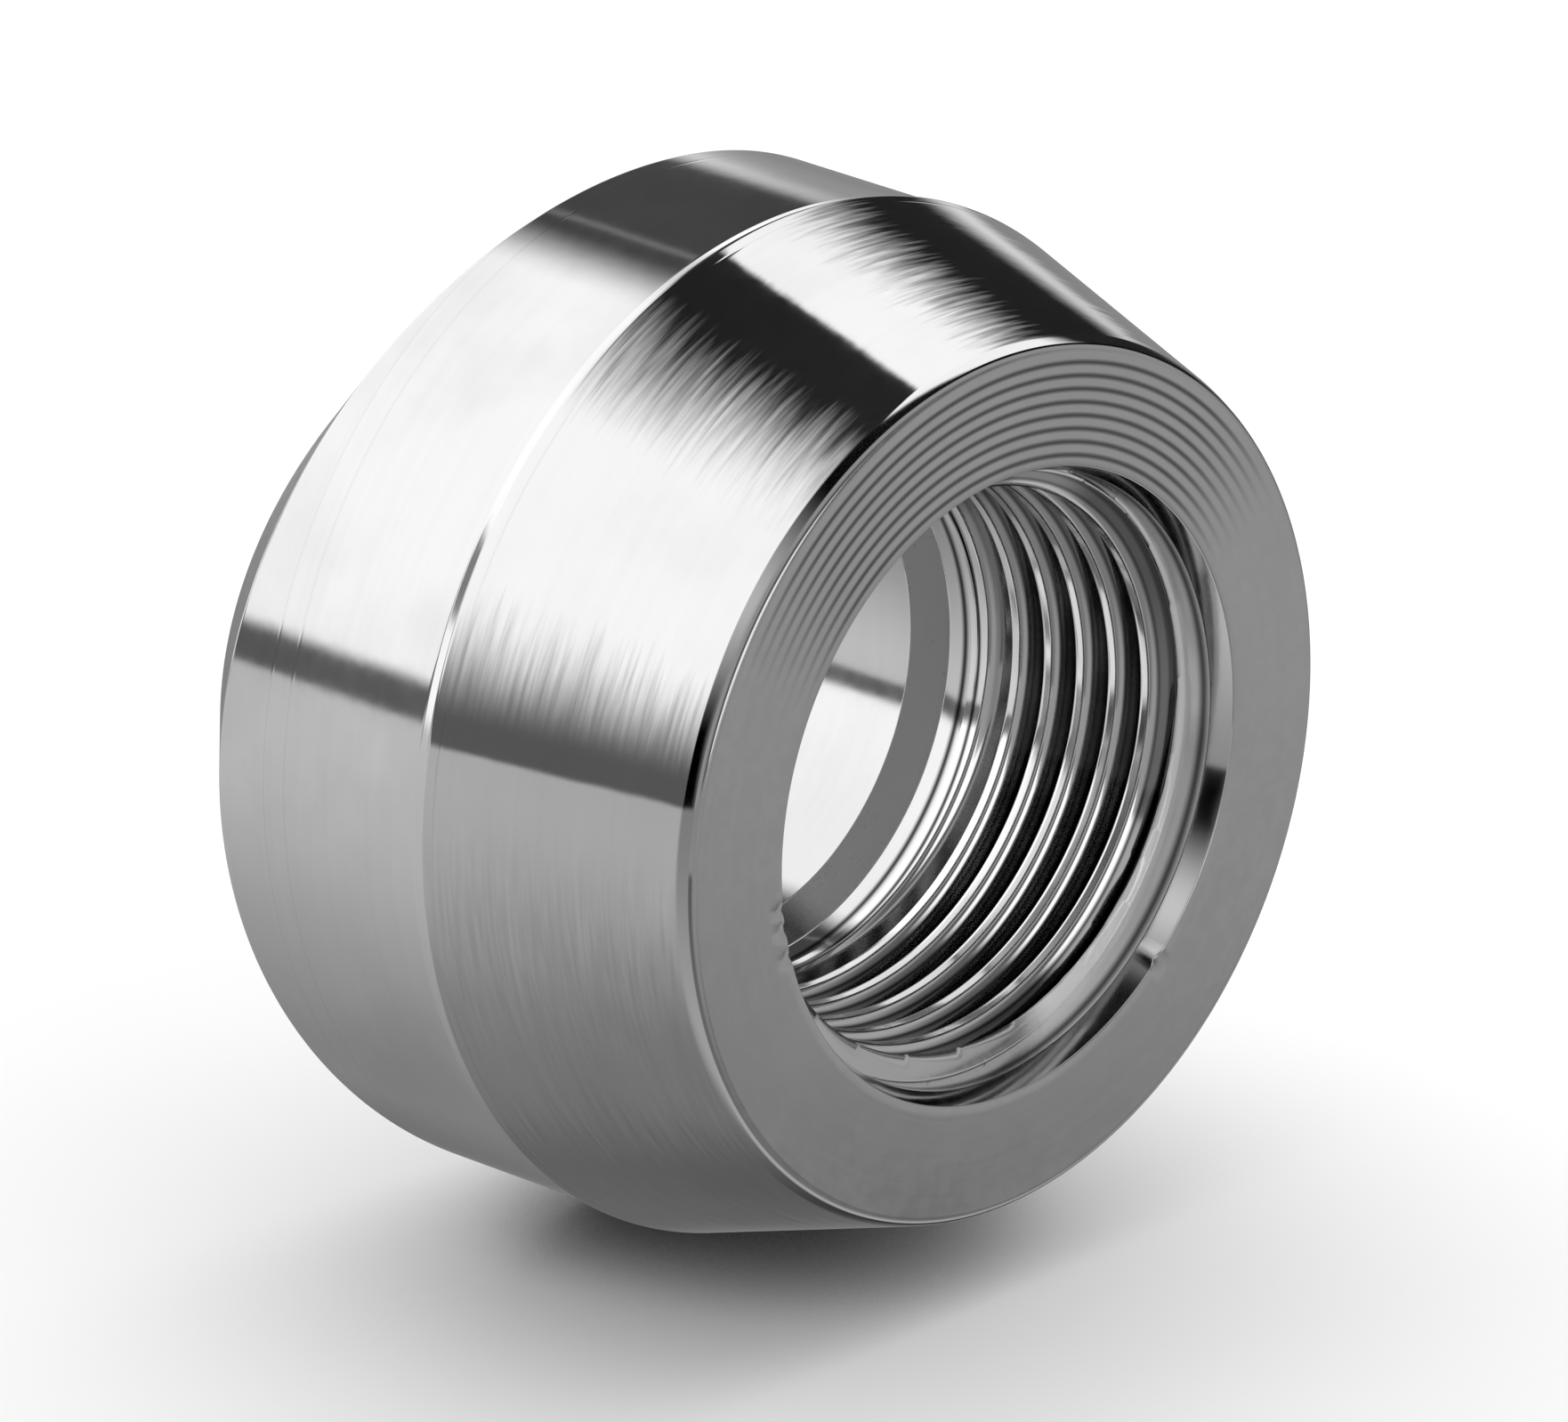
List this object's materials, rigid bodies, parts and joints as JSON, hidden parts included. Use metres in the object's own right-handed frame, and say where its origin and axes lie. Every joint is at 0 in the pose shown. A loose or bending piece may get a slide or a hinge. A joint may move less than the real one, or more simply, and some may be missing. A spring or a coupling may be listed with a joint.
{
  "type": "threaded branch outlet",
  "caption": "Weld-on branch outlet fitting with a female taper pipe thread, a coned upper body and a saddle-shaped bevelled base.",
  "frame": {"origin": "where the branch axis meets the outside of the run pipe, at the crown of the saddle", "axes": "+Z along the branch axis towards the outlet face; the run pipe lies along X, and the saddle's two ears point along +Y and -Y"},
  "size_m": [0.0452, 0.0452, 0.0289],
  "materials": {
    "steel": "turned, satin to bright"
  },
  "bodies": {
    "root": {"fitting_body": "steel"}
  },
  "joints": []
}
